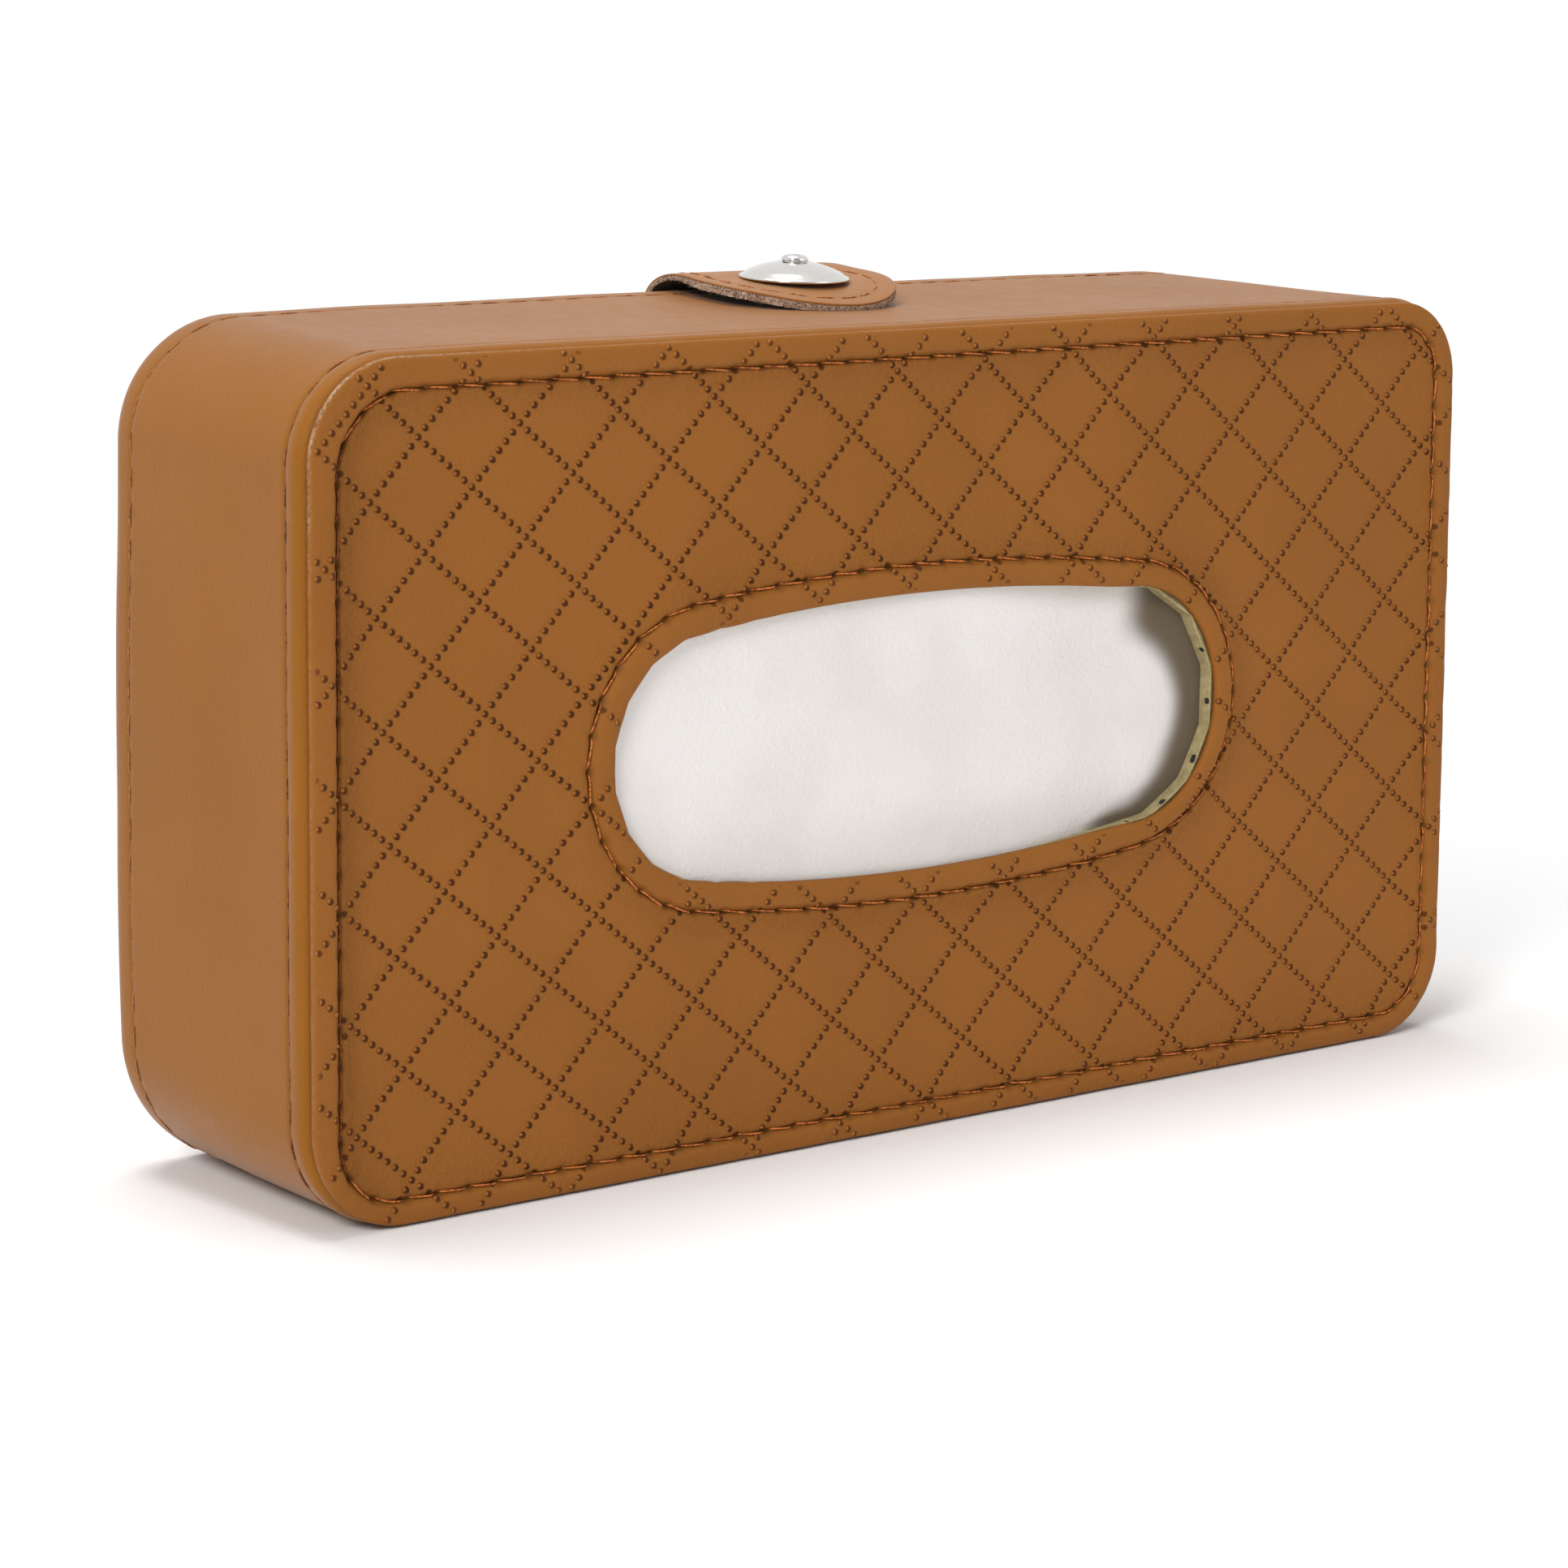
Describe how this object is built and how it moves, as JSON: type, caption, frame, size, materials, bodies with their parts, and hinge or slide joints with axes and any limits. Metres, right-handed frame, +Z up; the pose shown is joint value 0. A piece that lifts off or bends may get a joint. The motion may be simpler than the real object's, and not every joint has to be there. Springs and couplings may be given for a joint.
{
  "type": "tissue box cover",
  "caption": "Leather-covered board box for a pack of tissues, with a quilted front, an oval dispensing slot and a hinged back flap held by a snap strap.",
  "frame": {"origin": "centre of the foot print, on the surface that the cover stands on, midway between the slotted face and the back flap", "axes": "+X along the cover, +Y from the slotted quilted face to the back flap, +Z up as the cover stands on its long narrow side"},
  "size_m": [0.229, 0.055, 0.1345],
  "materials": {
    "quilted_leather": "satin",
    "band_leather": "satin",
    "board": "matte",
    "padding": "matte",
    "lining": "matte",
    "thread": "matte",
    "tissue": "matte",
    "steel": "satin",
    "polished_steel": "polished"
  },
  "bodies": {
    "cover": {"front_leather": "quilted_leather", "front_foam": "padding", "front_board": "board", "front_lining": "lining", "front_thread": "thread", "slot_thread": "thread", "band_leather": "band_leather", "band_board": "board", "band_lining": "lining", "band_front_thread": "thread", "band_back_thread": "thread", "hinge_strip": "band_leather", "hinge_thread": "thread", "tissue_stack": "tissue", "snap_stud": "steel", "stud_rivet": "steel"},
    "back_flap": {"back_leather": "band_leather", "back_board": "board", "back_lining": "lining", "back_thread": "thread", "strap_sewn_end": "band_leather"},
    "closing_strap": {"strap_outer_ply": "band_leather", "strap_inner_ply": "band_leather", "strap_thread": "thread", "snap_cap": "polished_steel", "cap_rivet": "polished_steel", "snap_socket": "steel", "snap_spring": "steel"}
  },
  "joints": [
    {"name": "flap_hinge", "type": "hinge", "parent": "cover", "child": "back_flap", "pos_m": [0, 0.0275, 0], "axis": [-1, 0, 0], "range_deg": [0, 90]},
    {"name": "strap_hinge", "type": "hinge", "parent": "back_flap", "child": "closing_strap", "pos_m": [0, 0.02585, 0.12655], "axis": [-1, 0, 0], "range_deg": [0, 90]}
  ]
}
